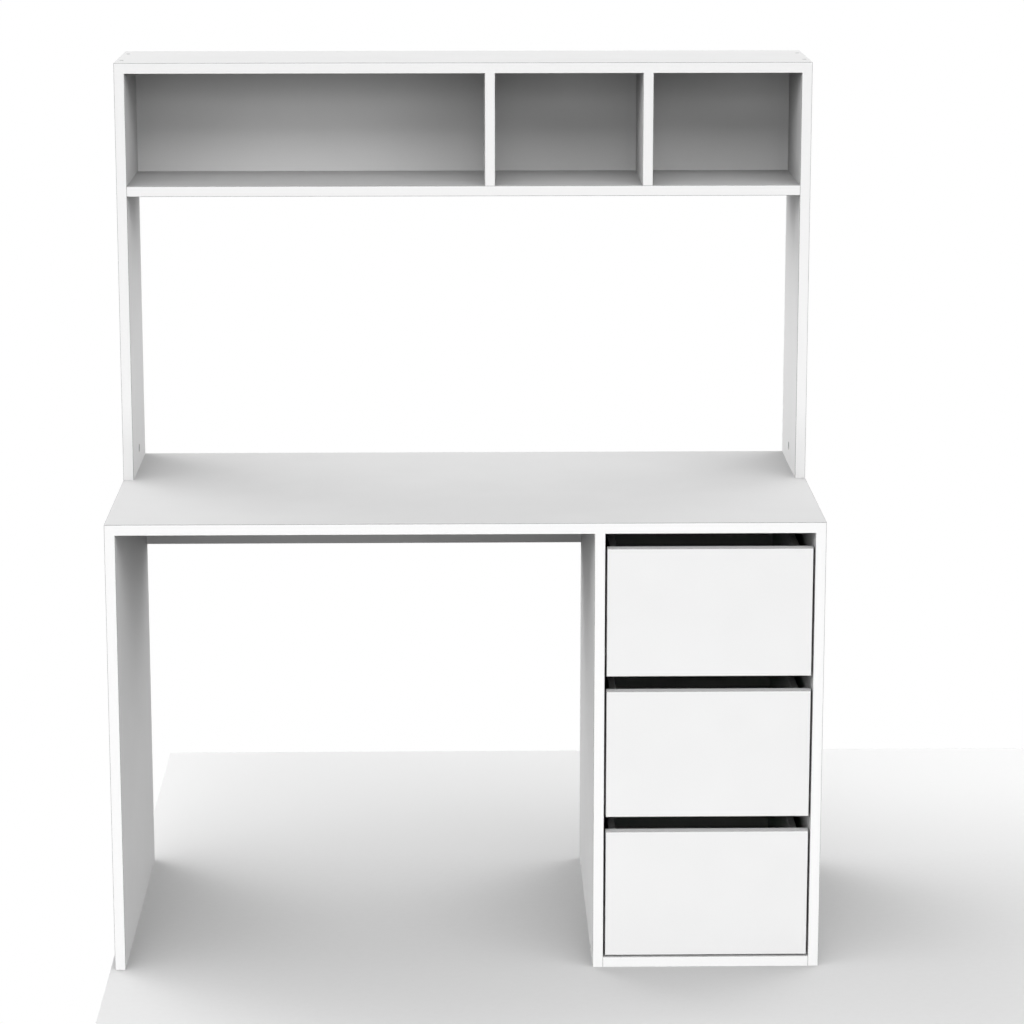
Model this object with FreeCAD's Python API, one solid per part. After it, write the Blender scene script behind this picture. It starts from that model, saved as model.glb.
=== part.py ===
import FreeCAD, Part
import math
import os
from FreeCAD import Vector

# Student desk with a three-drawer pedestal and a hutch of three open cubbies.
# Millimetres: X runs right along the front, Y from the front to the rear, Z up.
# The origin lies on the floor, at the middle of the footprint.

# Boards of the desk and the hutch
desk_width = 1200.0
desk_depth = 600.0
board = 18.0
edge_trim = 0.8
pedestal_bay = 350.0
rail_height = 148.0
hutch_depth = 240.0
hutch_bay = 500.0
cubby_height = 194.0
small_cubby = 255.0

# Thin hardboard sheets and the grooves that hold them
sheet = 3.0
sheet_tongue = 6.0
sheet_fit = 0.2
back_inset = 12.0

# Drawers
drawer_names = ("bottom", "middle", "top")
front_height = 220.0
front_gap = 3.0
finger_gap = 26.0
drawer_board = 12.0
drawer_side_height = 172.0
base_rise = 12.0
back_housing = 4.0
back_setback = 10.0
rear_space = 65.0

# Roller runners: bent steel profiles that hook together, with a roller on each
side_gap = 12.5
steel = 1.2
bend_trim = 0.6
runner_rise = 18.0
runner_setback = 2.0
runner_overlap = 125.0
track_lip = 3.0
cap_width = 8.0
cap_gap = 0.6
side_seat = 4.5
seat_width = 10.0
stop_height = 8.0
stop_reach = 5.0
screw_room = 1.0
lane_gap = 0.3

# Rollers and the axles riveted to the profiles
roller_radius = 10.0
roller_inset = 14.0
rolling_gap = 0.3
idle_gap = 1.5
axle_radius = 2.5
axle_head_radius = 4.0
axle_head = 0.8
axle_fit = 0.05

# Fasteners repeat many times, so each has flat sides in place of a round one
pin_sides = 6
cam_sides = 10

# Wooden dowels, and how deep a fastener goes into the face of a board
dowel_radius = 3.0
dowel_length = 30.0
blind_depth = 8.5
drill_fit = 0.05

# Connector screws, driven through a face into an edge
screw_length = 50.0
screw_radius = 2.5
screw_head_radius = 4.0
screw_head_height = 3.0
screw_sink = 0.5

# Cam locks and the bolts that they pull in
cam_radius = 7.5
cam_depth = 13.5
cam_distance = 34.0
bolt_radius = 2.5
bolt_head = 3.5
bolt_head_length = 4.0
bolt_fit = 0.3

# Places of the fasteners, from the ends of the boards that they join
screw_inset = 56.0
foot_screw_inset = 80.0
back_dowel_inset = 50.0
leg_cam_front = 200.0
leg_cam_rear = 100.0
upright_dowel_inset = 40.0
rail_cam_inset = 180.0
rail_end_shares = (0.3, 0.7)
drawer_dowel_shares = (0.25, 0.75)

# Cutting tools pass a surface by this much, and places that agree this well are the same
overrun = 1.0
hair = 0.001

# Worked out from the sizes above
pitch = front_height + finger_gap
desk_height = 2 * board + front_gap + len(drawer_names) * pitch
left_x = -desk_width / 2
right_x = desk_width / 2
front_y = -desk_depth / 2
rear_y = desk_depth / 2
under_top = desk_height - board
bay_left = right_x - board - pedestal_bay
bay_right = right_x - board
bay_middle = (bay_left + bay_right) / 2
hutch_front = rear_y - hutch_depth
hutch_middle = rear_y - hutch_depth / 2
shelf_z = desk_height + hutch_bay
cubby_z = shelf_z + board
hutch_top_z = cubby_z + cubby_height
back_y = rear_y - board
right_divider = right_x - board - small_cubby - board
left_divider = right_divider - small_cubby - board

front_z = board + front_gap
box_front = front_y + board
runner_front = box_front + runner_setback
runner_length = rear_y - back_inset - sheet - rear_space - board - runner_setback - front_y
box_rear = box_front + runner_length
runner_z = front_z + runner_rise
side_z = runner_z + side_seat
travel = runner_length - runner_overlap

# Lanes across the runner, counted from the cabinet wall towards the drawer
near_head = steel + screw_room + lane_gap
roller_near = near_head + axle_head + lane_gap
far_head = side_gap - steel - screw_room - lane_gap
roller_far = far_head - axle_head - lane_gap
roller_width = roller_far - roller_near
lip_near = roller_far + lane_gap
lip_far = lip_near + steel

# Levels on the runner, counted from its lowest face
rear_roller_up = steel + rolling_gap + roller_radius
track_up = steel + rolling_gap + 2 * roller_radius + idle_gap
front_roller_up = track_up - rolling_gap - roller_radius
cap_up = track_up + steel + cap_gap
front_roller_y = runner_front + roller_inset
rear_roller_y = box_rear - roller_inset

along_x = Vector(1, 0, 0)
along_y = Vector(0, 1, 0)
up = Vector(0, 0, 1)


def between(x, y, z, trimmed=()):
    """A board between two places on each axis. An edge is trimmed by naming its two faces."""
    solid = Part.makeBox(x[1] - x[0], y[1] - y[0], z[1] - z[0], Vector(x[0], y[0], z[0]))
    faces = {"left": ("x", x[0]), "right": ("x", x[1]), "front": ("y", y[0]),
             "rear": ("y", y[1]), "under": ("z", z[0]), "top": ("z", z[1])}

    def lies_on(edge, face):
        axis, place = faces[face]
        return abs(getattr(edge.CenterOfMass, axis) - place) < hair

    chosen = [edge for pair in trimmed for edge in solid.Edges
              if all(lies_on(edge, face) for face in pair.split())]
    return solid.makeChamfer(edge_trim, chosen) if chosen else solid


def turned(outline, foot, way):
    """A turned piece: (radius, distance) corners spun about the line from foot along way."""
    corners = [Vector(radius, 0, distance) for radius, distance in outline]
    solid = Part.Face(Part.makePolygon(corners + corners[:1])).revolve(Vector(), up)
    solid.Placement = FreeCAD.Placement(foot, FreeCAD.Rotation(up, way))
    return solid


def peg(steps, sides, foot, way):
    """A stepped pin with flat sides: (radius, start, end) steps along the line from foot along way."""
    turns = [2 * math.pi * side / sides for side in range(sides)]
    prisms = []
    for radius, start, end in steps:
        corners = [Vector(radius * math.cos(turn), radius * math.sin(turn), start) for turn in turns]
        outline = Part.makePolygon(corners + corners[:1])
        prisms.append(Part.Face(outline).extrude(up * (end - start)))
    solid = prisms[0].fuse(prisms[1:]).removeSplitter() if prisms[1:] else prisms[0]
    solid.Placement = FreeCAD.Placement(foot, FreeCAD.Rotation(up, way))
    return solid


def drilled(solid, bores):
    """The board with every bore and groove that reaches into it cut away."""
    reach = solid.BoundBox
    cuts = [bore for bore in bores if reach.intersect(bore.BoundBox)]
    return solid.cut(cuts) if cuts else solid


def across_desk(shape):
    """The same shape on the other side of the desk's middle."""
    return shape.mirror(Vector(), along_x)


def across_pedestal(shape):
    """The same shape on the other side of the drawers' middle."""
    return shape.mirror(Vector(bay_middle, 0, 0), along_x)


def raised(shape, steps):
    """The same shape a number of drawers higher."""
    return shape.translated(up * (steps * pitch))


def dowel(seam, way):
    """A wooden pin: shallow in the face behind the seam, deep in the edge ahead of it."""
    def pin(spare):
        step = (dowel_radius + spare, -blind_depth - spare, dowel_length - blind_depth + spare)
        return peg([step], pin_sides, seam, way)

    return pin(0), pin(drill_fit)


def connector_screw(mouth, way):
    """A flat-headed screw whose head lies just under the face at mouth."""
    def form(head_start, spare):
        neck = screw_sink + screw_head_height
        return peg([(screw_head_radius + spare, head_start, neck),
                    (screw_radius + spare, neck, screw_length + spare)], pin_sides, mouth, way)

    return form(screw_sink, 0), form(-overrun, drill_fit)


def cam_joint(seam, way, face):
    """A bolt that stands in the board behind the seam, and a cam flush with a face of the board ahead."""
    mouth = seam + way * cam_distance + face * (board / 2)
    inward = face.negative()
    head_end = cam_distance + bolt_head_length / 2
    neck_end = cam_distance - bolt_head_length / 2
    bolt = peg([(bolt_radius, -blind_depth, neck_end), (bolt_head, neck_end, head_end)], pin_sides, seam, way)
    bolt_bore = peg([(bolt_radius + drill_fit, -blind_depth - drill_fit, 0),
                     (bolt_head + bolt_fit, 0, head_end + bolt_fit)], pin_sides, seam, way)
    cam = peg([(cam_radius, 0, cam_depth)], cam_sides, mouth, inward).cut(bolt_bore)
    cam_bore = peg([(cam_radius + drill_fit, -overrun, cam_depth + drill_fit)], cam_sides, mouth, inward)
    return cam, bolt, [bolt_bore, cam_bore]


def desk_boards():
    """The carcass of the desk before drilling."""
    depth = (front_y, rear_y)
    height = (0, under_top)
    upright_edges = ("front left", "front right", "rear left", "rear right")
    top_edges = upright_edges + ("front top", "left top", "right top", "rear top")
    kneehole = (left_x + board, bay_left - board)
    return {
        "desk_top": between((left_x, right_x), depth, (under_top, desk_height), top_edges),
        "left_leg_panel": between((left_x, left_x + board), depth, height, upright_edges),
        "pedestal_inner_panel": between((bay_left - board, bay_left), depth, height, upright_edges),
        "right_side_panel": between((bay_right, right_x), depth, height, upright_edges),
        "pedestal_bottom_panel": between((bay_left, bay_right), depth, (0, board), ("front top",)),
        "rear_rail": between(kneehole, (back_y, rear_y), (under_top - rail_height, under_top),
                             ("front under", "rear under")),
    }


def hutch_boards():
    """The boards of the hutch before drilling."""
    depth = (hutch_front, rear_y)
    cubby = (cubby_z, hutch_top_z)
    inside = (left_x + board, right_x - board)
    upright_edges = ("front left", "front right", "rear left", "rear right")
    top_edges = upright_edges + ("front top", "left top", "right top", "rear top")
    left_upright = between((left_x, left_x + board), depth, (desk_height, hutch_top_z), upright_edges)
    top = between((left_x, right_x), depth, (hutch_top_z, hutch_top_z + board), top_edges)
    shelf = between(inside, depth, (shelf_z, cubby_z), ("front top", "front under", "rear under"))

    def divider(x):
        return between((x, x + board), (hutch_front, back_y), cubby, ("front left", "front right"))

    return {
        "hutch_left_upright": left_upright,
        "hutch_right_upright": across_desk(left_upright),
        "hutch_top_panel": top,
        "hutch_shelf_panel": shelf,
        "hutch_left_divider": divider(left_divider),
        "hutch_right_divider": divider(right_divider),
        "hutch_back_panel": between(inside, (back_y, rear_y), cubby),
    }


def pedestal_back():
    """The thin sheet behind the drawers and the groove round it."""
    rear = rear_y - back_inset
    low = (bay_left - sheet_tongue, rear - sheet, board - sheet_tongue)
    high = (bay_right + sheet_tongue, rear, under_top - sheet_fit)
    back = between(*zip(low, high))
    groove = between(*zip([c - sheet_fit for c in low], [c + sheet_fit for c in high]))
    return back, groove


def desk_dowels():
    """Dowels of the desk and the hutch, each with its bore."""
    left_end = [dowel(Vector(left_x + board / 2, y, desk_height), up)
                for y in (hutch_front + upright_dowel_inset, rear_y - upright_dowel_inset)]
    left_end += [dowel(Vector(left_x + board, rear_y - board / 2, z), along_x)
                 for z in (cubby_z + back_dowel_inset, hutch_top_z - back_dowel_inset)]
    pins = left_end + [tuple(across_desk(shape) for shape in pair) for pair in left_end]
    for share in rail_end_shares:
        z = under_top - rail_height + share * rail_height
        pins.append(dowel(Vector(left_x + board, rear_y - board / 2, z), along_x))
        pins.append(dowel(Vector(bay_left - board, rear_y - board / 2, z), along_x.negative()))
    for x in (left_divider + board / 2, right_divider + board / 2):
        for y in (hutch_front + screw_inset, back_y - screw_inset):
            pins.append(dowel(Vector(x, y, hutch_top_z), up.negative()))
            pins.append(dowel(Vector(x, y, cubby_z), up))
    return pins


def desk_screws():
    """Connector screws of the desk and the hutch, each with its bore."""
    hutch_ys = (hutch_front + screw_inset, rear_y - screw_inset)
    upright = left_x + board / 2
    left_end = [connector_screw(Vector(upright, y, hutch_top_z + board), up.negative()) for y in hutch_ys]
    left_end += [connector_screw(Vector(left_x, y, shelf_z + board / 2), along_x) for y in hutch_ys]
    foot = [connector_screw(Vector(bay_left - board, y, board / 2), along_x)
            for y in (front_y + foot_screw_inset, rear_y - foot_screw_inset)]
    return (left_end + [tuple(across_desk(shape) for shape in pair) for pair in left_end]
            + foot + [tuple(across_pedestal(shape) for shape in pair) for pair in foot])


def desk_cams():
    """Cam joints of the desk and the hutch: cam, bolt and bores of each."""
    down = up.negative()
    left = along_x.negative()
    leg_ys = (front_y + leg_cam_front, rear_y - leg_cam_rear)
    joints = [cam_joint(Vector(left_x + board / 2, y, under_top), down, along_x) for y in leg_ys]
    joints += [cam_joint(Vector(bay_left - board / 2, y, under_top), down, along_x) for y in leg_ys]
    joints += [cam_joint(Vector(right_x - board / 2, y, under_top), down, left) for y in leg_ys]
    joints += [cam_joint(Vector(left_x + board / 2, hutch_middle, desk_height), up, along_x),
               cam_joint(Vector(right_x - board / 2, hutch_middle, desk_height), up, left)]
    joints += [cam_joint(Vector(x, rear_y - board / 2, under_top), down, along_y)
               for x in (left_x + rail_cam_inset, bay_left - rail_cam_inset)]
    return joints


def bent(outline, bends, start, end):
    """A steel section from (across, up) corners, run along Y, with its bends eased."""
    corners = [Vector(bay_left + across, start, runner_z + rise) for across, rise in outline]
    solid = Part.Face(Part.makePolygon(corners + corners[:1])).extrude(along_y * (end - start))

    def edges_at(spots):
        places = [(bay_left + across, runner_z + rise) for across, rise in spots]
        return [edge for edge in solid.Edges for x, z in places
                if abs(edge.CenterOfMass.x - x) < hair and abs(edge.CenterOfMass.z - z) < hair]

    return solid.makeChamfer(bend_trim, edges_at(bends))


def axle(web, last, y, rise, way):
    """A riveted axle: a journal that stands on the web, flared past the roller to keep it on."""
    foot = Vector(bay_left + web, y, runner_z + rise)
    neck = abs(last - web) + lane_gap
    return turned([(0, -steel / 2), (axle_radius, -steel / 2), (axle_radius, neck),
                   (axle_head_radius, neck + axle_head), (0, neck + axle_head)], foot, way)


def roller(y, rise):
    """A moulded roller with a bore for its axle."""
    bore = axle_radius + axle_fit
    outline = [(bore, 0), (roller_radius, 0), (roller_radius, roller_width), (bore, roller_width)]
    return turned(outline, Vector(bay_left + roller_near, y, runner_z + rise), along_x)


def cabinet_runner():
    """The left cabinet profile: a channel with its front axle and a stop lanced from the web."""
    height = cap_up + steel
    channel = bent(
        [(0, 0), (lip_far, 0), (lip_far, track_lip), (lip_near, track_lip), (lip_near, steel), (steel, steel),
         (steel, cap_up), (cap_width, cap_up), (cap_width, height), (0, height)],
        [(0, 0), (lip_far, 0), (0, height)], runner_front, runner_front + runner_length)
    stop_face = rear_roller_y - travel - roller_radius - rolling_gap
    stop_z = runner_z + rear_roller_up - stop_height / 2
    stop = between((bay_left + steel / 2, bay_left + steel + stop_reach), (stop_face - steel, stop_face),
                   (stop_z, stop_z + stop_height))
    pin = axle(steel, roller_far, front_roller_y, front_roller_up, along_x)
    return channel.fuse([stop, pin]).removeSplitter()


def drawer_runner():
    """The left drawer profile: a seat under the side, a web and the track that rides on the front roller."""
    web = side_gap - steel
    top = track_up + steel
    section = bent(
        [(web, side_seat - steel), (side_gap + seat_width, side_seat - steel),
         (side_gap + seat_width, side_seat), (side_gap, side_seat), (side_gap, top), (near_head, top),
         (near_head, track_up), (web, track_up)],
        [(web, side_seat - steel), (side_gap, top)], box_front + steel, box_rear)
    pin = axle(web, roller_near, rear_roller_y, rear_roller_up, along_x.negative())
    return section.fuse(pin).removeSplitter()


def drawer_boards():
    """The front, the left side housed for the back, the back, the base sheet and the groove for the base."""
    outer = bay_left + side_gap
    inner = outer + drawer_board
    far_inner = 2 * bay_middle - inner
    side_top = side_z + drawer_side_height
    base_z = side_z + base_rise
    front_edges = ("front left", "front right", "front top", "front under", "rear top")
    front = between((bay_left + front_gap, bay_right - front_gap), (front_y, box_front),
                    (front_z, front_z + front_height), front_edges)
    side = between((outer, inner), (box_front, box_rear), (side_z, side_top), ("left top", "right top"))
    back_rear = box_rear - back_setback
    back = between((inner - back_housing, far_inner + back_housing), (back_rear - drawer_board, back_rear),
                   (base_z + sheet, side_top))
    low = (inner - sheet_tongue, box_front - sheet_tongue, base_z)
    high = (far_inner + sheet_tongue, back_rear, base_z + sheet)
    base = between(*zip(low, high))
    groove = between(*zip((low[0] - sheet_fit, low[1] - sheet_fit, low[2]),
                          (high[0] + sheet_fit, box_rear + overrun, high[2])))
    return front, side.cut([back, groove]), back, base, groove


def drawer_dowels():
    """Dowels that hold the left side of a drawer to its front."""
    middle = bay_left + side_gap + drawer_board / 2
    return [dowel(Vector(middle, box_front, side_z + share * drawer_side_height), along_y)
            for share in drawer_dowel_shares]


def make_drawer():
    """Every piece of the lowest drawer and of its runners."""
    front, side, back, base, groove = drawer_boards()
    left_dowels = drawer_dowels()
    left_bores = [bore for _, bore in left_dowels]
    front_bores = left_bores + [across_pedestal(bore) for bore in left_bores] + [groove]
    left_side = drilled(side, left_bores)
    left_runner = drawer_runner()
    wall_runner = cabinet_runner()

    def pair(shapes):
        return Part.makeCompound(shapes + [across_pedestal(shape) for shape in shapes])

    return {
        "front": drilled(front, front_bores),
        "left_side": left_side,
        "right_side": across_pedestal(left_side),
        "back": back,
        "base_sheet": base,
        "left_runner": left_runner,
        "right_runner": across_pedestal(left_runner),
        "left_cabinet_runner": wall_runner,
        "right_cabinet_runner": across_pedestal(wall_runner),
        "dowels": pair([pin for pin, _ in left_dowels]),
        "rear_rollers": pair([roller(rear_roller_y, rear_roller_up)]),
        "front_rollers": pair([roller(front_roller_y, front_roller_up)]),
    }


nodes = {}
drawer_pieces = make_drawer()
for step, name in enumerate(drawer_names):
    for piece, shape in drawer_pieces.items():
        nodes[f"{name}_drawer_{piece}"] = raised(shape, step)

dowels = desk_dowels()
screws = desk_screws()
cams = desk_cams()
back_sheet, back_groove = pedestal_back()
bores = [bore for _, bore in dowels + screws] + [back_groove]
bores += [bore for joint in cams for bore in joint[-1]]
for name, solid in {**desk_boards(), **hutch_boards()}.items():
    nodes[name] = drilled(solid, bores)

nodes["pedestal_back_sheet"] = back_sheet
nodes["wood_dowels"] = Part.makeCompound([pin for pin, _ in dowels])
nodes["connector_screws"] = Part.makeCompound([screw for screw, _ in screws])
nodes["cam_locks"] = Part.makeCompound([cam for cam, _, _ in cams])
nodes["cam_bolts"] = Part.makeCompound([bolt for _, bolt, _ in cams])

os.makedirs("parts", exist_ok=True)
for name, shape in nodes.items():
    shape.exportStep(f"parts/{name}.step")
print(f"{len(nodes)} nodes, travel {travel:.1f}, runner {runner_length:.1f}, height {hutch_top_z + board:.1f}")
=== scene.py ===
import math

import bmesh
import bpy
from mathutils import Matrix, Vector


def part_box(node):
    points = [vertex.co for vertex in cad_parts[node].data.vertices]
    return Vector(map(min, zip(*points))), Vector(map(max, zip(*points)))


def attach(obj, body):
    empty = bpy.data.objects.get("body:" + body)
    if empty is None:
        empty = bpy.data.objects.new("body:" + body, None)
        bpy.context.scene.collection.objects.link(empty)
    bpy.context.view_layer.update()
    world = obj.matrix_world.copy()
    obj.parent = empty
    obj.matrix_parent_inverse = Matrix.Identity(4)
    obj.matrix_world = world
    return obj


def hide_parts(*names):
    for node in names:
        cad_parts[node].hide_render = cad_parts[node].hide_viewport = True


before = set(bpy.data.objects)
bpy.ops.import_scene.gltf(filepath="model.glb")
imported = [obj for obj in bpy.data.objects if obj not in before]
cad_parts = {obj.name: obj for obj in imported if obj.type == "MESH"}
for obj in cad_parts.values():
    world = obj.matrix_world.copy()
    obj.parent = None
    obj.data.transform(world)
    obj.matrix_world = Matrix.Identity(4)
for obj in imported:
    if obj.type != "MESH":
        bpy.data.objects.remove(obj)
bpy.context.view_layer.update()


# Carcass and hutch boards: 18 mm chipboard pressed between sheets of white melamine, sawn to
# size. Sides that show are edged with ABS strip whose corners are rounded over, and sides that
# butt on another board stay raw. The desk stands on its three uprights, and the hutch on the desk.
edge_radius = 0.0008
rounding_steps = 3
same_place = 0.00001
mm_per_m = 1000
# A board's material slots: its two faces, its edging, its raw sides and its corners, painted shade.
face_side, edge_side, raw_side, shade_painted_side = range(4)


def linear(hex_colour):
    """Turns an sRGB hex colour into linear RGBA."""
    shares = [int(hex_colour[at:at + 2], 16) / 255 for at in (0, 2, 4)]
    return [c / 12.92 if c <= 0.04045 else ((c + 0.055) / 1.055) ** 2.4 for c in shares] + [1]


def node(tree, kind, inputs, feeds=None, **settings):
    """Adds a node with its settings, values or links in its inputs, and the sockets it feeds."""
    added = tree.nodes.new(kind)
    for name, value in settings.items():
        setattr(added, name, value)
    for name, value in inputs.items():
        if isinstance(value, bpy.types.NodeSocket):
            tree.links.new(value, added.inputs[name])
        else:
            added.inputs[name].default_value = value
    for name, socket in (feeds or {}).items():
        tree.links.new(added.outputs[name], socket)
    return added


def start_material(name, roughness, metallic=0.0):
    """A new material with its node tree, its shader and the place on the piece in metres."""
    material = bpy.data.materials.new(name)
    material.use_nodes = True
    tree = material.node_tree
    shader = tree.nodes["Principled BSDF"]
    shader.inputs["Roughness"].default_value = roughness
    shader.inputs["Metallic"].default_value = metallic
    place = node(tree, "ShaderNodeTexCoord", {}).outputs["Object"]
    return material, tree, shader, place


# The Mix node's sockets for colours go by number.
mix_share, mix_first, mix_second, mixed = 0, 6, 7, 2
bump_strength = 0.5

# White melamine is a printed paper cured in resin against a plate with a fine pearl grain, so it
# is satin and slightly mottled. The grain is 0.5 mm wide, too fine to show, and is drawn at 2 mm.
pearl_mm = 2.0
pearl_depth_mm = 0.05
cloud_mm = 90.0
melamine, tree, shader, place = start_material("white_melamine", roughness=0.6)
shader.inputs["Specular IOR Level"].default_value = 0.08
pearl = node(tree, "ShaderNodeTexNoise", {"Vector": place, "Scale": mm_per_m / pearl_mm,
                                          "Detail": 2.0})
cloud = node(tree, "ShaderNodeTexNoise", {"Vector": place, "Scale": mm_per_m / cloud_mm,
                                          "Detail": 1.0})
mottle = node(tree, "ShaderNodeMath", {0: pearl.outputs["Fac"], 1: cloud.outputs["Fac"]},
              operation="MULTIPLY")
node(tree, "ShaderNodeMix", {mix_share: mottle.outputs[0], mix_first: linear("F3F3F3"),
                             mix_second: linear("EBEBEB")},
     {mixed: shader.inputs["Base Color"]}, data_type="RGBA")
node(tree, "ShaderNodeMapRange", {"Value": pearl.outputs["Fac"], "To Min": 0.55, "To Max": 0.65},
     {"Result": shader.inputs["Roughness"]})
node(tree, "ShaderNodeBump", {"Height": pearl.outputs["Fac"],
                              "Distance": pearl_depth_mm / mm_per_m, "Strength": bump_strength},
     {"Normal": shader.inputs["Normal"]})

# ABS edging is an extruded strip, ironed on and scraped flush, so it is smoother and a little
# glossier than the faces, with a faint ripple.
ripple_mm = 3.0
ripple_depth_mm = 0.02
edging, tree, shader, place = start_material("white_abs_edging", roughness=0.5)
shader.inputs["Specular IOR Level"].default_value = 0.1
ripple = node(tree, "ShaderNodeTexNoise", {"Vector": place, "Scale": mm_per_m / ripple_mm,
                                           "Detail": 3.0})
node(tree, "ShaderNodeMix", {mix_share: ripple.outputs["Fac"], mix_first: linear("FDFDFD"),
                             mix_second: linear("F8F8F8")},
     {mixed: shader.inputs["Base Color"]}, data_type="RGBA")
node(tree, "ShaderNodeBump", {"Height": ripple.outputs["Fac"],
                              "Distance": ripple_depth_mm / mm_per_m, "Strength": bump_strength},
     {"Normal": shader.inputs["Normal"]})

# The corners of the strip are scraped round by hand, which leaves the plastic dull.
# Their grey is painted shade: a dark line along every rounded edge and round each countersink.
shade_painted_corner, tree, shader, place = start_material("abs_corner_painted_shade", roughness=0.7)
shader.inputs["Specular IOR Level"].default_value = 0.15
painted_shade_noise = node(tree, "ShaderNodeTexNoise", {"Vector": place, "Scale": mm_per_m / ripple_mm,
                                            "Detail": 3.0})
node(tree, "ShaderNodeMix", {mix_share: painted_shade_noise.outputs["Fac"], mix_first: linear("B2B2B2"),
                             mix_second: linear("A2A2A2")},
     {mixed: shader.inputs["Base Color"]}, data_type="RGBA")

# Raw chipboard is pressed wood chips, coarse and pale brown, seen on sawn sides and in bores.
chip_mm = 2.2
chip_depth_mm = 0.3
chipboard, tree, shader, place = start_material("raw_chipboard", roughness=0.85)
chips = node(tree, "ShaderNodeTexVoronoi", {"Vector": place, "Scale": mm_per_m / chip_mm})
grain = node(tree, "ShaderNodeSeparateColor", {"Color": chips.outputs["Color"]})
node(tree, "ShaderNodeMix", {mix_share: grain.outputs["Red"], mix_first: linear("C9AA7C"),
                             mix_second: linear("8E6B42")},
     {mixed: shader.inputs["Base Color"]}, data_type="RGBA")
node(tree, "ShaderNodeBump", {"Height": chips.outputs["Distance"],
                              "Distance": chip_depth_mm / mm_per_m, "Strength": bump_strength},
     {"Normal": shader.inputs["Normal"]})

upright_edges = ("front left", "front right", "rear left", "rear right")
top_edges = upright_edges + ("front top", "left top", "right top", "rear top")
divider_edges = ("front left", "front right")
front_edges = ("front left", "front right", "front top", "front under", "rear top")
carcass_boards = {
    "left_leg_panel": (upright_edges, ("top", "under")),
    "pedestal_inner_panel": (upright_edges, ("top", "under")),
    "right_side_panel": (upright_edges, ("top", "under")),
    "pedestal_bottom_panel": (("front top",), ("left", "right", "rear")),
    "rear_rail": (("front under", "rear under"), ("left", "right", "top")),
    "desk_top": (top_edges, ()),
    "hutch_left_upright": (upright_edges, ("top", "under")),
    "hutch_right_upright": (upright_edges, ("top", "under")),
    "hutch_shelf_panel": (("front top", "front under", "rear under"), ("left", "right")),
    "hutch_back_panel": ((), ("left", "right", "top", "under")),
    "hutch_left_divider": (divider_edges, ("rear", "top", "under")),
    "hutch_right_divider": (divider_edges, ("rear", "top", "under")),
    "hutch_top_panel": (top_edges, ()),
}


def board(node_name, body, rounded, raw):
    """A board in place of its node: edges rounded, two faces melamine, sides edged or raw."""
    low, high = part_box(node_name)
    sides = {"left": (0, low), "right": (0, high), "front": (1, low), "rear": (1, high),
             "under": (2, low), "top": (2, high)}

    def lies_on(centre, side):
        axis, corner = sides[side]
        return abs(centre[axis] - corner[axis]) < same_place

    size = high - low
    thin = min(range(3), key=lambda axis: size[axis])
    bpy.ops.object.select_all(action="DESELECT")
    bpy.ops.mesh.primitive_cube_add(size=1, location=(low + high) / 2, scale=size)
    bpy.ops.object.transform_apply(location=True, rotation=True, scale=True)
    piece = bpy.context.object
    piece.name = node_name + "_board"
    for material in (melamine, edging, chipboard, shade_painted_corner):
        piece.data.materials.append(material)
    bpy.ops.object.mode_set(mode="EDIT")
    bpy.ops.mesh.select_mode(type="EDGE")
    bpy.ops.mesh.select_all(action="DESELECT")
    mesh = bmesh.from_edit_mesh(piece.data)
    for face in mesh.faces:
        centre = face.calc_center_median()
        bare = any(lies_on(centre, side) for side in raw)
        is_face = round(abs(face.normal[thin])) == 1
        face.material_index = face_side if is_face else raw_side if bare else edge_side
    for edge in mesh.edges:
        centre = (edge.verts[0].co + edge.verts[1].co) / 2
        meets = any(all(lies_on(centre, side) for side in pair.split()) for pair in rounded)
        edge.select_set(meets)
    bmesh.update_edit_mesh(piece.data)
    # The rounded corners take the grey of painted shade, a dark line along each edge.
    if rounded:
        bpy.ops.mesh.bevel(offset=edge_radius, segments=rounding_steps, affect="EDGES",
                           material=shade_painted_side)
    bpy.ops.object.mode_set(mode="OBJECT")
    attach(piece, body)
    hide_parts(node_name)
    return piece


boards = {name: board(name, "carcass", *edges) for name, edges in carcass_boards.items()}


# Pedestal back: a 3 mm hardboard sheet that slides into grooves in the boards round it. Its inner
# face is lacquered white, and its outer face, towards the wall, is bare brown fibre.
groove_room = 0.0002
bore_sides = 48


def take_out(piece, bit):
    """Cuts a bit's shape out of a piece."""
    cut = piece.modifiers.new("cut", "BOOLEAN")
    cut.operation = "DIFFERENCE"
    cut.object = bit
    bpy.context.view_layer.objects.active = piece
    bpy.ops.object.modifier_apply(modifier=cut.name)


def carve(bit, side):
    """Takes a bit's shape out of every board it meets, with one material on the new faces."""
    for face in bit.data.polygons:
        face.material_index = side
    points = [bit.matrix_world @ Vector(corner) for corner in bit.bound_box]
    for name, piece in boards.items():
        low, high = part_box(name)
        if all(min(p[axis] for p in points) < high[axis]
               and low[axis] < max(p[axis] for p in points) for axis in range(3)):
            take_out(piece, bit)
    bpy.data.objects.remove(bit)


def groove_for(node_name):
    """Saws a groove in the boards round a thin sheet, with a little room."""
    low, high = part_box(node_name)
    room = Vector((groove_room, groove_room, groove_room))
    bpy.ops.object.select_all(action="DESELECT")
    bpy.ops.mesh.primitive_cube_add(size=1, location=(low + high) / 2,
                                    scale=high - low + 2 * room)
    bpy.context.view_layer.update()
    carve(bpy.context.object, raw_side)


# Hardboard is wood fibre pressed flat, brown, with a thin white lacquer on the good face.
# Fibres are 0.1 mm thick, too fine to show, so they are drawn as 3 mm streaks.
fibre_mm = 3.0
fibre_depth_mm = 0.05
half_turned = 0.5


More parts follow.
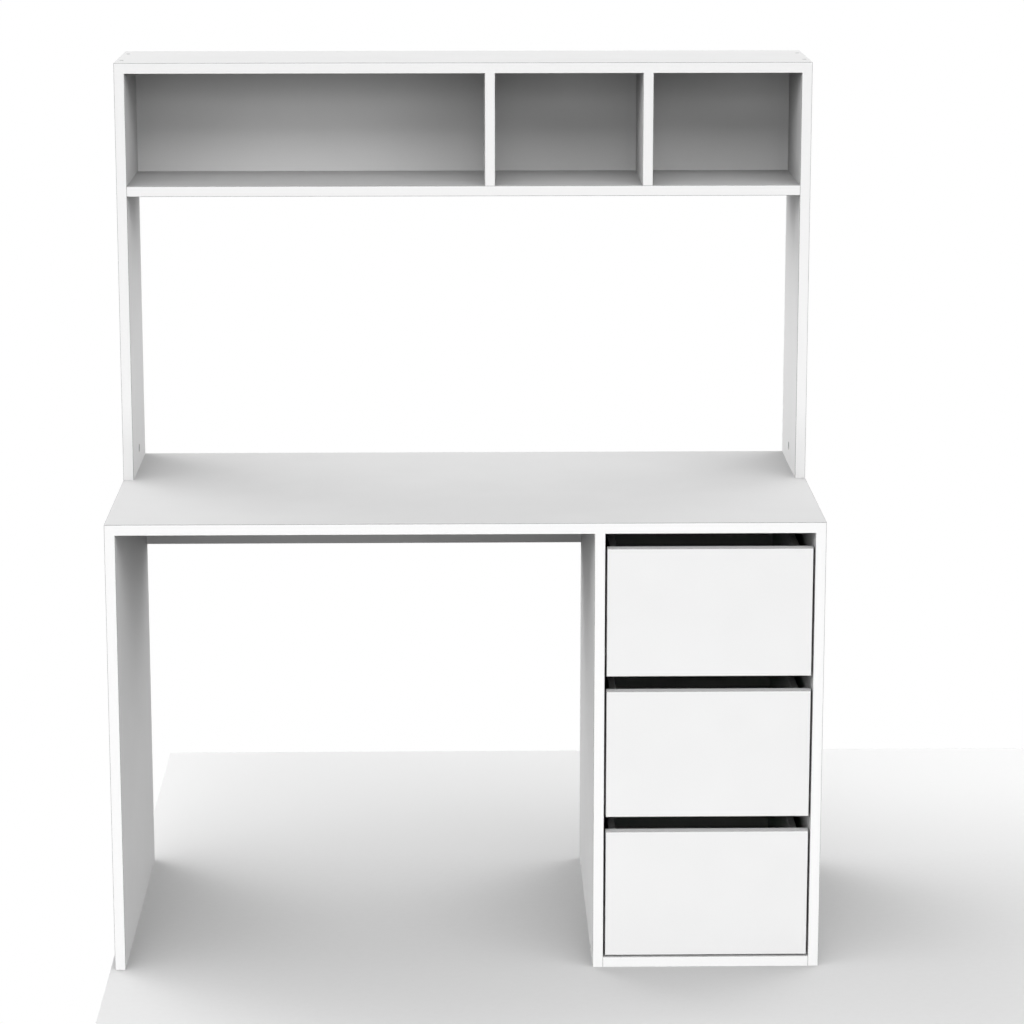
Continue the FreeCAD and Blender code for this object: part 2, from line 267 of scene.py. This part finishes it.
def hardboard(name, good_way):
    """Hardboard whose good face looks along good_way."""
    material, tree, shader, place = start_material(name, roughness=0.55)
    fibres = node(tree, "ShaderNodeTexNoise", {"Vector": place, "Scale": mm_per_m / fibre_mm,
                                               "Detail": 4.0})
    streaks = fibres.outputs["Fac"]
    brown = node(tree, "ShaderNodeMix", {mix_share: streaks, mix_first: linear("8A6440"),
                                         mix_second: linear("6B4A2C")}, data_type="RGBA")
    white = node(tree, "ShaderNodeMix", {mix_share: streaks, mix_first: linear("E6E6E4"),
                                         mix_second: linear("DCDCDA")}, data_type="RGBA")
    way = node(tree, "ShaderNodeTexCoord", {}).outputs["Normal"]
    facing = node(tree, "ShaderNodeVectorMath", {0: way, 1: good_way}, operation="DOT_PRODUCT")
    good = node(tree, "ShaderNodeMath", {0: facing.outputs["Value"], 1: half_turned},
                operation="GREATER_THAN")
    node(tree, "ShaderNodeMix", {mix_share: good.outputs[0], mix_first: brown.outputs[mixed],
                                 mix_second: white.outputs[mixed]},
         {mixed: shader.inputs["Base Color"]}, data_type="RGBA")
    node(tree, "ShaderNodeBump", {"Height": fibres.outputs["Fac"],
                                  "Distance": fibre_depth_mm / mm_per_m, "Strength": bump_strength},
         {"Normal": shader.inputs["Normal"]})
    return material


back_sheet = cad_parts["pedestal_back_sheet"]
back_sheet.material_slots[0].material = hardboard("hardboard_back", good_way=(0, -1, 0))
groove_for("pedestal_back_sheet")


# Drawers: each is a box of 12 mm melamine board behind an 18 mm front that sits inside the
# pedestal. The back is housed in the sides, and a hardboard base slides in a groove round it.
drawers = ("bottom_drawer", "middle_drawer", "top_drawer")
base_hardboard = hardboard("hardboard_base", good_way=(0, 0, 1))
for drawer in drawers:
    front_name = drawer + "_front"
    boards[front_name] = board(front_name, drawer, front_edges, ())
    for piece in ("left_side", "right_side", "back"):
        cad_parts[f"{drawer}_{piece}"].material_slots[0].material = melamine
    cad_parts[drawer + "_base_sheet"].material_slots[0].material = base_hardboard
    groove_for(drawer + "_base_sheet")


# Dowels: fluted beech pins, 6 mm thick, pressed half into the face of one board and half into the
# edge of the next. The flutes let glue and air out, and the ends are chamfered to start easily.
dowel_radius = 0.003
dowel_chamfer = 0.0006
dowel_sides = 36
flute_step = 3
flute_share = 0.93
bore_room = 0.00005
kept_digits = 6


def solids_in(node_name):
    """The corners of each separate solid in a CAD node, whose mesh is loose triangles."""
    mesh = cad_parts[node_name].data
    leader = {}

    def lead(corner):
        while leader[corner] != corner:
            corner = leader[corner]
        return corner

    for face in mesh.polygons:
        corners = [tuple(round(c, kept_digits) for c in mesh.vertices[at].co)
                   for at in face.vertices]
        for corner in corners:
            leader.setdefault(corner, corner)
        for corner in corners[1:]:
            leader[lead(corner)] = lead(corners[0])
    groups = {}
    for corner in leader:
        groups.setdefault(lead(corner), []).append(Vector(corner))
    return list(groups.values())


def ends_of(corners, pick_axis):
    """The middles of a solid's ends on its longest (max) or shortest (min) axis, wide end first."""
    low, high = (Vector([pick(c[axis] for c in corners) for axis in range(3)])
                 for pick in (min, max))
    axis = pick_axis(range(3), key=lambda a: high[a] - low[a])
    ends = []
    for place in (low[axis], high[axis]):
        end = (low + high) / 2
        end[axis] = place
        rim = [c for c in corners if abs(c[axis] - place) < same_place]
        ends.append((max((c - end).length for c in rim), end))
    ends.sort(key=lambda pair: -pair[0])
    return ends[0][1], ends[1][1]


def drill(start, finish, radius, side=raw_side):
    """Bores a round hole from one point to another in the boards that it meets."""
    way = finish - start
    bpy.ops.object.select_all(action="DESELECT")
    bpy.ops.mesh.primitive_cylinder_add(
        vertices=bore_sides, radius=radius, depth=way.length, location=(start + finish) / 2,
        rotation=way.to_track_quat("Z", "Y").to_euler())
    bpy.context.view_layer.update()
    carve(bpy.context.object, side)


def turned(name, outline, sides, material):
    """A piece turned about Z: a disc at the first (radius, height), drawn out step by step."""
    radius, height = outline[0]
    bpy.ops.object.select_all(action="DESELECT")
    bpy.ops.mesh.primitive_circle_add(vertices=sides, radius=radius, fill_type="NGON",
                                      location=(0, 0, height))
    bpy.ops.object.transform_apply(location=True, rotation=True, scale=True)
    piece = bpy.context.object
    piece.name = name
    piece.data.materials.append(material)
    bpy.ops.object.mode_set(mode="EDIT")
    bpy.ops.mesh.select_all(action="SELECT")
    for next_radius, next_height in outline[1:]:
        share = next_radius / radius
        rise = (0, 0, next_height - height)
        bpy.ops.mesh.extrude_region_move(TRANSFORM_OT_translate={"value": rise})
        bpy.ops.transform.resize(value=(share, share, 1), center_override=(0, 0, 0))
        radius, height = next_radius, next_height
    bpy.ops.mesh.select_all(action="SELECT")
    bpy.ops.mesh.normals_make_consistent(inside=False)
    bpy.ops.object.mode_set(mode="OBJECT")
    return piece


def set_out(master, number, start, finish, body, node_name=None):
    """A copy of a piece that was modelled up from the origin, at start and pointing to finish."""
    copy = master.copy()
    copy.data = master.data.copy()
    copy.name = f"{master.name}_{number:02d}"
    turn = (finish - start).to_track_quat("Z", "Y").to_matrix().to_4x4()
    copy.data.transform(Matrix.Translation(start) @ turn)
    bpy.context.scene.collection.objects.link(copy)
    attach(copy, body)
    if node_name:
        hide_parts(node_name)
    return copy


# Beech is a pale, even wood with short dark flecks, bare and a little rough from the cutter.
fleck_mm = 1.5
fleck_depth_mm = 0.05
beech, tree, shader, place = start_material("plain_beech", roughness=0.7)
flecks = node(tree, "ShaderNodeTexNoise", {"Vector": place, "Scale": mm_per_m / fleck_mm,
                                           "Detail": 3.0})
node(tree, "ShaderNodeMix", {mix_share: flecks.outputs["Fac"], mix_first: linear("D9B384"),
                             mix_second: linear("B98A58")},
     {mixed: shader.inputs["Base Color"]}, data_type="RGBA")
node(tree, "ShaderNodeBump", {"Height": flecks.outputs["Fac"],
                              "Distance": fleck_depth_mm / mm_per_m, "Strength": bump_strength},
     {"Normal": shader.inputs["Normal"]})

first_start, first_end = ends_of(solids_in("wood_dowels")[0], max)
dowel_length = (first_end - first_start).length
tip_radius = dowel_radius - dowel_chamfer
dowel_outline = [(tip_radius, 0), (dowel_radius, dowel_chamfer),
                 (dowel_radius, dowel_length - dowel_chamfer), (tip_radius, dowel_length)]
dowel = turned("beech_dowel", dowel_outline, dowel_sides, beech)
bpy.ops.object.mode_set(mode="EDIT")
bpy.ops.mesh.select_mode(type="VERT")
bpy.ops.mesh.select_all(action="DESELECT")
mesh = bmesh.from_edit_mesh(dowel.data)
for vertex in mesh.verts:
    turn = round(math.atan2(vertex.co.y, vertex.co.x) * dowel_sides / (2 * math.pi))
    outer = vertex.co.xy.length > dowel_radius - same_place
    vertex.select_set(outer and turn % flute_step == 0)
bmesh.update_edit_mesh(dowel.data)
bpy.ops.transform.resize(value=(flute_share, flute_share, 1), center_override=(0, 0, 0))
bpy.ops.object.mode_set(mode="OBJECT")
dowel_number = 0
dowel_nodes = {"wood_dowels": "carcass"} | {drawer + "_dowels": drawer for drawer in drawers}
for node_name, body in dowel_nodes.items():
    for corners in solids_in(node_name):
        start, finish = ends_of(corners, max)
        drill(start, finish, dowel_radius + bore_room)
        set_out(dowel, dowel_number, start, finish, body, node_name)
        dowel_number += 1
bpy.data.objects.remove(dowel)


# Cam bolts: zinc-plated steel pins that screw into the face of one board. Their collared heads
# reach through the edge of the next board into the cam that pulls the joint tight.
bolt_radius = 0.0025
bolt_head = 0.0035
bolt_head_tip = 0.0028
bolt_head_slope = 0.0006
bolt_head_end = 0.0032
bolt_neck = 0.0019
bolt_neck_start = 0.0040
bolt_neck_end = 0.0062
bolt_shoulder = 0.0068
bolt_root = 0.0020
bolt_bore = 0.0038
bolt_pitch = 0.0012
bolt_thread = 0.0085
bolt_root_share = 0.3
bolt_crest_share = 0.8
turned_sides = 24
smooth_angle = math.radians(30)

# Zinc plating on steel is a thin bright layer, blue-grey, with a faint cloudy change in its shine.
plate_mm = 1.5
zinc_steel, tree, shader, place = start_material("zinc_plated_steel", roughness=0.32, metallic=1.0)
plating = node(tree, "ShaderNodeTexNoise", {"Vector": place, "Scale": mm_per_m / plate_mm,
                                            "Detail": 2.0})
node(tree, "ShaderNodeMix", {mix_share: plating.outputs["Fac"], mix_first: linear("C4C7CB"),
                             mix_second: linear("A6AAB0")},
     {mixed: shader.inputs["Base Color"]}, data_type="RGBA")
node(tree, "ShaderNodeMapRange", {"Value": plating.outputs["Fac"], "To Min": 0.25, "To Max": 0.42},
     {"Result": shader.inputs["Roughness"]})

start, finish = ends_of(solids_in("cam_bolts")[0], max)
bolt_length = (finish - start).length
thread_top = bolt_length - bolt_thread
bolt_outline = [(bolt_head_tip, 0), (bolt_head, bolt_head_slope), (bolt_head, bolt_head_end),
                (bolt_neck, bolt_neck_start), (bolt_neck, bolt_neck_end),
                (bolt_radius, bolt_shoulder), (bolt_radius, thread_top)]
for turn in range(round(bolt_thread / bolt_pitch)):
    bolt_outline += [(bolt_root, thread_top + (turn + bolt_root_share) * bolt_pitch),
                     (bolt_radius, thread_top + (turn + bolt_crest_share) * bolt_pitch)]
bolt_outline.append((bolt_root, bolt_length))
bolt = turned("cam_bolt", bolt_outline, turned_sides, zinc_steel)
bpy.ops.object.shade_smooth_by_angle(angle=smooth_angle)
for number, corners in enumerate(solids_in("cam_bolts")):
    head, tip = ends_of(corners, max)
    way = (tip - head).normalized()
    drill(head - way * bore_room, head + way * (thread_top + bore_room), bolt_bore)
    drill(head + way * thread_top, tip + way * bore_room, bolt_radius + bore_room)
    set_out(bolt, number, head, tip, "carcass", "cam_bolts")
bpy.data.objects.remove(bolt)


# Cams: die-cast zinc drums, 15 mm across, dropped into bores in a board's face and turned with a
# cross driver to draw the bolt in. A rim, a dished face, a cross recess and a pointer notch show.
cam_radius = 0.0074
cam_bore = 0.00755
cam_rim = 0.0011
cam_dish = 0.0007
cam_corner = 0.0004
cam_sink = 0.0001
cross_length = 0.0072
cross_width = 0.0014
cross_depth = 0.0026
notch_width = 0.0012

# Die-cast zinc is a grey metal with the dull, slightly grainy skin of the mould.
skin_mm = 0.8
skin_depth_mm = 0.05
zinc_casting, tree, shader, place = start_material("die_cast_zinc", roughness=0.45, metallic=1.0)
skin = node(tree, "ShaderNodeTexNoise", {"Vector": place, "Scale": mm_per_m / skin_mm,
                                         "Detail": 3.0})
node(tree, "ShaderNodeMix", {mix_share: skin.outputs["Fac"], mix_first: linear("A9ABAE"),
                             mix_second: linear("85888C")},
     {mixed: shader.inputs["Base Color"]}, data_type="RGBA")
node(tree, "ShaderNodeBump", {"Height": skin.outputs["Fac"],
                              "Distance": skin_depth_mm / mm_per_m, "Strength": bump_strength},
     {"Normal": shader.inputs["Normal"]})


def cross_cut(piece, length, width, depth, offset=0.0):
    """Presses a slot along X and another along Y into the end of a piece at the origin."""
    for scale in ((length, width, 2 * depth), (width, length, 2 * depth)):
        bpy.ops.object.select_all(action="DESELECT")
        bpy.ops.mesh.primitive_cube_add(size=1, location=(offset, 0, 0), scale=scale)
        bit = bpy.context.object
        take_out(piece, bit)
        bpy.data.objects.remove(bit)


inner, outer = ends_of(solids_in("cam_locks")[0], min)
cam_depth = (outer - inner).length
cam_outline = [
    (cam_radius - cam_corner, cam_depth), (cam_radius, cam_depth - cam_corner),
    (cam_radius, cam_sink + cam_corner), (cam_radius - cam_corner, cam_sink),
    (cam_radius - cam_rim, cam_sink), (cam_radius - cam_rim - cam_corner, cam_dish)]
cam = turned("cam_lock", cam_outline, bore_sides, zinc_casting)
cross_cut(cam, cross_length, cross_width, cross_depth)
cross_cut(cam, 2 * cam_rim, notch_width, cam_dish, cam_radius)
for number, corners in enumerate(solids_in("cam_locks")):
    first, second = ends_of(corners, min)
    middle = (first + second) / 2
    low, high = next(box for box in map(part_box, carcass_boards)
                     if all(box[0][axis] < middle[axis] < box[1][axis] for axis in range(3)))
    mouth, end = sorted((first, second), key=lambda end: min(
        abs(end[axis] - corner[axis]) for axis in range(3) for corner in (low, high)))
    way = (end - mouth).normalized()
    drill(mouth - way * cam_dish, end + way * bore_room, cam_bore)
    set_out(cam, number, mouth, end, "carcass", "cam_locks")
bpy.data.objects.remove(cam)


# Connector screws: zinc-plated steel with a coarse thread and a flat countersunk head with a
# hexagon socket. They are driven through the face of one board into the edge of the next.
screw_radius = 0.0025
screw_head = 0.0039
screw_head_corner = 0.0004
screw_head_slope = 0.0003
screw_head_rim = 0.0012
screw_head_height = 0.0030
screw_root = 0.0019
screw_pitch = 0.0024
screw_root_share = 0.4
screw_crest_share = 0.9
screw_sink = 0.0005
socket_sides = 6
socket_radius = 0.0021
socket_depth = 0.0022
plain_neck = 0.010
screw_tip = 0.0012

start, finish = ends_of(solids_in("connector_screws")[0], max)
screw_length = (finish - start).length
screw_outline = [(screw_head - screw_head_corner, 0), (screw_head, screw_head_slope),
                 (screw_head, screw_head_rim), (screw_radius, screw_head_height),
                 (screw_radius, plain_neck)]
for turn in range(int((screw_length - plain_neck) / screw_pitch)):
    screw_outline += [(screw_root, plain_neck + (turn + screw_root_share) * screw_pitch),
                      (screw_radius, plain_neck + (turn + screw_crest_share) * screw_pitch)]
screw_outline.append((screw_tip, screw_length))
screw = turned("connector_screw", screw_outline, turned_sides, zinc_steel)
bpy.ops.object.shade_smooth_by_angle(angle=smooth_angle)
bpy.ops.object.select_all(action="DESELECT")
bpy.ops.mesh.primitive_cylinder_add(vertices=socket_sides, radius=socket_radius,
                                    depth=2 * socket_depth)
socket = bpy.context.object
take_out(screw, socket)
bpy.data.objects.remove(socket)
for number, corners in enumerate(solids_in("connector_screws")):
    head, tip = ends_of(corners, max)
    way = (tip - head).normalized()
    # The countersink's wall is painted grey as shade inside the recess.
    drill(head - 2 * way * screw_sink, head + way * screw_head_height, screw_head + bore_room,
          shade_painted_side)
    drill(head + way * screw_sink, tip + way * bore_room, screw_radius + bore_room)
    set_out(screw, number, head, tip, "carcass", "connector_screws")
bpy.data.objects.remove(screw)


# Runners: bent sheet steel, 1.2 mm thick, coated with white epoxy powder. One profile is screwed
# to the cabinet and one to the drawer, and each carries a roller on a riveted axle.

# Powder coat melts to an even skin with a fine orange peel, 1 mm wide. It is drawn at 2 mm, because
# it is too fine to show.
peel_mm = 2.0
peel_depth_mm = 0.05
powder_coat, tree, shader, place = start_material("white_epoxy_powder_coat", roughness=0.4)
peel = node(tree, "ShaderNodeTexNoise", {"Vector": place, "Scale": mm_per_m / peel_mm,
                                         "Detail": 1.0})
node(tree, "ShaderNodeMix", {mix_share: peel.outputs["Fac"], mix_first: linear("E9E9E5"),
                             mix_second: linear("DFDFDB")},
     {mixed: shader.inputs["Base Color"]}, data_type="RGBA")
node(tree, "ShaderNodeBump", {"Height": peel.outputs["Fac"],
                              "Distance": peel_depth_mm / mm_per_m, "Strength": bump_strength},
     {"Normal": shader.inputs["Normal"]})
for drawer in drawers:
    for profile in ("left_runner", "right_runner", "left_cabinet_runner", "right_cabinet_runner"):
        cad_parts[f"{drawer}_{profile}"].material_slots[0].material = powder_coat


# Runner screws: small zinc-plated pan-head screws with a cross recess. Three hold each cabinet
# profile to its wall and two hold each drawer profile to its side.
pan_radius = 0.0031
pan_crown_share = 0.8
pan_height = 0.0009
pan_edge = 0.0003
recess_width = 0.0006
recess_depth_share = 0.8
shank_radius = 0.0015
shank_length = 0.0085
shank_tip_share = 0.3
steel_sheet = 0.0012
cabinet_screw_up = 0.0129
drawer_screw_up = 0.0072
cabinet_screw_shares = (0.12, 0.52, 0.93)
drawer_screw_shares = (0.14, 0.82)
lane_width = 0.0125

pan_outline = [
    (pan_radius * pan_crown_share, 0), (pan_radius, pan_edge), (pan_radius, pan_height),
    (shank_radius, pan_height), (shank_radius, shank_length),
    (shank_radius * shank_tip_share, shank_length + shank_radius)]
pan_screw = turned("runner_screw", pan_outline, turned_sides, zinc_steel)
bpy.ops.object.shade_smooth_by_angle(angle=smooth_angle)
cross_cut(pan_screw, pan_radius, recess_width, pan_height * recess_depth_share)
screw_number = 0
for drawer in drawers:
    for side, into in (("left", -1), ("right", 1)):
        low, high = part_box(f"{drawer}_{side}_cabinet_runner")
        web = low.x + steel_sheet if side == "left" else high.x - steel_sheet
        wall = low.x if side == "left" else high.x
        for share in cabinet_screw_shares:
            seat = Vector((web - into * pan_height, low.y + share * (high.y - low.y),
                           low.z + cabinet_screw_up))
            set_out(pan_screw, screw_number, seat, seat + Vector((into, 0, 0)), "carcass")
            screw_number += 1
        low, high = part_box(f"{drawer}_{side}_runner")
        web = wall - into * (lane_width - steel_sheet)
        for share in drawer_screw_shares:
            seat = Vector((web + into * pan_height, low.y + share * (high.y - low.y),
                           low.z + drawer_screw_up))
            set_out(pan_screw, screw_number, seat, seat - Vector((into, 0, 0)), drawer)
            screw_number += 1
bpy.data.objects.remove(pan_screw)


# Rollers: moulded natural nylon wheels, 20 mm across, with a hub, a thin web and a rim. The front
# ones turn on the cabinet profiles and carry the drawer, and the rear ones on the drawer profiles.
roller_radius = 0.010
roller_bore = 0.00255
hub_radius = 0.0046
rim_inner = 0.0082
recess = 0.0009
draft = 0.0005
roller_chamfer = 0.0005

# Natural nylon is creamy white, a little waxy, and lets some light into its skin.
wax_mm = 4.0
nylon, tree, shader, place = start_material("natural_nylon", roughness=0.38)
wax = node(tree, "ShaderNodeTexNoise", {"Vector": place, "Scale": mm_per_m / wax_mm,
                                        "Detail": 2.0})
node(tree, "ShaderNodeMix", {mix_share: wax.outputs["Fac"], mix_first: linear("EAE6D8"),
                             mix_second: linear("DCD7C6")},
     {mixed: shader.inputs["Base Color"]}, data_type="RGBA")
shader.inputs["Subsurface Weight"].default_value = 0.15
shader.inputs["Subsurface Scale"].default_value = 0.002

start, finish = ends_of(solids_in("top_drawer_front_rollers")[0], min)
roller_width = (finish - start).length
half = [(roller_bore, 0), (hub_radius, 0), (hub_radius + draft, recess),
        (rim_inner - draft, recess), (rim_inner, 0), (roller_radius - roller_chamfer, 0),
        (roller_radius, roller_chamfer)]
other_half = [(radius, roller_width - height) for radius, height in reversed(half)]
ring = half + other_half + half[:1]
roller = turned("nylon_roller", ring, bore_sides, nylon)
bpy.ops.object.mode_set(mode="EDIT")
bpy.ops.mesh.select_mode(type="FACE")
bpy.ops.mesh.select_all(action="DESELECT")
mesh = bmesh.from_edit_mesh(roller.data)
for face in mesh.faces:
    face.select_set(len(face.verts) == bore_sides)
bmesh.update_edit_mesh(roller.data)
bpy.ops.mesh.delete(type="FACE")
bpy.ops.mesh.select_all(action="SELECT")
bpy.ops.mesh.remove_doubles(threshold=same_place)
bpy.ops.mesh.normals_make_consistent(inside=False)
bpy.ops.object.mode_set(mode="OBJECT")
bpy.ops.object.shade_smooth_by_angle(angle=smooth_angle)
for drawer in drawers:
    for kind in ("front_rollers", "rear_rollers"):
        node_name = f"{drawer}_{kind}"
        for number, corners in enumerate(solids_in(node_name)):
            start, finish = ends_of(corners, min)
            copy = set_out(roller, number, start, finish, node_name, node_name)
            copy.name = f"{node_name}_{number}"
bpy.data.objects.remove(roller)


# Floor: a plain white studio sheet, matt, laid flat under the desk. It ends close to the left leg
# and well behind the desk, where painted light makes it glow towards the white backdrop, to the eye
# and in reflections alone. Its faint specks are too fine to show, and are drawn 12 mm wide.
floor_left, floor_right = -0.608, 1.75
floor_front, floor_rear = -1.05, 1.010
fade_start, fade_end = 0.05, 0.85
fade_glow = 0.15
floor_matt, tree, shader, place = start_material("pale_floor", roughness=1.0)
shader.inputs["Specular IOR Level"].default_value = 0.1
speck_mm = 12.0
specks = node(tree, "ShaderNodeTexNoise", {"Vector": place, "Scale": mm_per_m / speck_mm,
                                           "Detail": 2.0})
node(tree, "ShaderNodeMix", {mix_share: specks.outputs["Fac"], mix_first: linear("FCFCFC"),
                             mix_second: linear("F8F8F8")},
     {mixed: shader.inputs["Base Color"]}, data_type="RGBA")
# Painted light: the floor glows brighter towards the rear for camera, glossy and transmission rays.
spot = node(tree, "ShaderNodeSeparateXYZ", {"Vector": place})
fade = node(tree, "ShaderNodeMapRange", {"Value": spot.outputs["Y"], "From Min": fade_start,
                                         "From Max": fade_end, "To Max": fade_glow},
            interpolation_type="SMOOTHSTEP")
path = node(tree, "ShaderNodeLightPath", {})
seen = node(tree, "ShaderNodeMath", {0: path.outputs["Is Camera Ray"],
                                     1: path.outputs["Is Glossy Ray"]}, operation="MAXIMUM")
seen = node(tree, "ShaderNodeMath", {0: seen.outputs[0], 1: path.outputs["Is Transmission Ray"]},
            operation="MAXIMUM")
shader.inputs["Emission Color"].default_value = linear("FFFFFF")
node(tree, "ShaderNodeMath", {0: seen.outputs[0], 1: fade.outputs["Result"]},
     {0: shader.inputs["Emission Strength"]}, operation="MULTIPLY")
bpy.ops.object.select_all(action="DESELECT")
middle = ((floor_left + floor_right) / 2, (floor_front + floor_rear) / 2, 0)
bpy.ops.mesh.primitive_plane_add(size=1, location=middle)
bpy.ops.transform.resize(value=(floor_right - floor_left, floor_rear - floor_front, 1))
bpy.ops.object.transform_apply(location=True, rotation=True, scale=True)
floor = bpy.context.object
floor.name = "floor"
floor.data.materials.append(floor_matt)


# Light: a white cloth tent with soft bright panels low all round and high at three corners, and a
# long soft box low in front. It looks plain white to the eye and in reflections. Light that boards
# throw on each other isn't counted, so that the cubbies and the gaps over the drawers stay deep.
cloth_glow = 0.04
# Each panel: degrees round from the front, degrees up, reach in degrees, and strength.
panels = {
    "front": (0, 20, 25, 1.0), "front_high": (0, 38, 25, 2.7),
    "front_left": (-42, 20, 30, 2.1), "front_right": (42, 20, 30, 2.5),
    "left": (-80, 15, 30, 2.3), "right": (80, 15, 30, 1.6),
    "rear_left": (-135, 15, 35, 2.6), "rear_right": (135, 15, 35, 1.5),
    "behind": (180, 12, 30, 0.5),
    "rear_left_high": (-125, 40, 35, 0.9), "rear_right_high": (125, 40, 35, 0.7),
}
box_place = Vector((0, -2.2, 0.28))
box_aim = Vector((0, -0.3, 0.45))
box_width = 3.0
box_height = 0.4
box_power = 10


def way_to(azimuth, elevation):
    """The direction at degrees round from the front and up from the floor."""
    turn, rise = math.radians(azimuth), math.radians(elevation)
    level = math.cos(rise)
    return Vector((math.sin(turn) * level, -math.cos(turn) * level, math.sin(rise)))


world = bpy.data.worlds.new("studio_tent")
bpy.context.scene.world = world
world.use_nodes = True
tree = world.node_tree
tree.nodes.clear()
look = node(tree, "ShaderNodeTexCoord", {}).outputs["Generated"]
glow = cloth_glow
for azimuth, elevation, reach, strength in panels.values():
    near = node(tree, "ShaderNodeVectorMath", {0: look, 1: way_to(azimuth, elevation)},
                operation="DOT_PRODUCT")
    rim = math.cos(math.radians(reach))
    panel = node(tree, "ShaderNodeMapRange", {"Value": near.outputs["Value"], "From Min": rim,
                                              "To Max": strength},
                 interpolation_type="SMOOTHSTEP")
    added = node(tree, "ShaderNodeMath", {0: glow, 1: panel.outputs["Result"]}, operation="ADD")
    glow = added.outputs[0]
path = node(tree, "ShaderNodeLightPath", {})
seen = node(tree, "ShaderNodeMath", {0: path.outputs["Is Camera Ray"],
                                     1: path.outputs["Is Glossy Ray"]}, operation="MAXIMUM")
seen = node(tree, "ShaderNodeMath", {0: seen.outputs[0], 1: path.outputs["Is Transmission Ray"]},
            operation="MAXIMUM")
tent = node(tree, "ShaderNodeBackground", {"Color": linear("FFFFFF"), "Strength": glow})
backdrop = node(tree, "ShaderNodeBackground", {"Color": linear("FFFFFF"), "Strength": 1.0})
chosen = node(tree, "ShaderNodeMixShader", {0: seen.outputs[0], 1: tent.outputs[0],
                                            2: backdrop.outputs[0]})
node(tree, "ShaderNodeOutputWorld", {"Surface": chosen.outputs[0]})
lamp = bpy.data.lights.new("low_soft_box", "AREA")
lamp.shape = "RECTANGLE"
lamp.size = box_width
lamp.size_y = box_height
lamp.energy = box_power
holder = bpy.data.objects.new(lamp.name, lamp)
holder.location = box_place
holder.rotation_euler = (box_aim - box_place).to_track_quat("-Z", "Y").to_euler()
holder.visible_camera = False
bpy.context.scene.collection.objects.link(holder)
bpy.context.scene.cycles.diffuse_bounces = 0


# Camera: stands 5.6 m before the desk and 2 m up, looks a little down, and has a long lens. Its
# place and turn were worked out from the edges of the boards.
sensor_mm = 36
lens_mm = 121.82
camera_place = (-0.0256, -5.9120, 2.0323)
camera_tilt = math.radians(77.584)
camera_turn = math.radians(-1.042)
camera_data = bpy.data.cameras.new("camera")
camera_data.sensor_width = sensor_mm
camera_data.lens = lens_mm
camera = bpy.data.objects.new("camera", camera_data)
camera.location = camera_place
camera.rotation_euler = (camera_tilt, 0, camera_turn)
bpy.context.scene.collection.objects.link(camera)
bpy.context.scene.camera = camera
bpy.context.scene.view_settings.view_transform = "Standard"
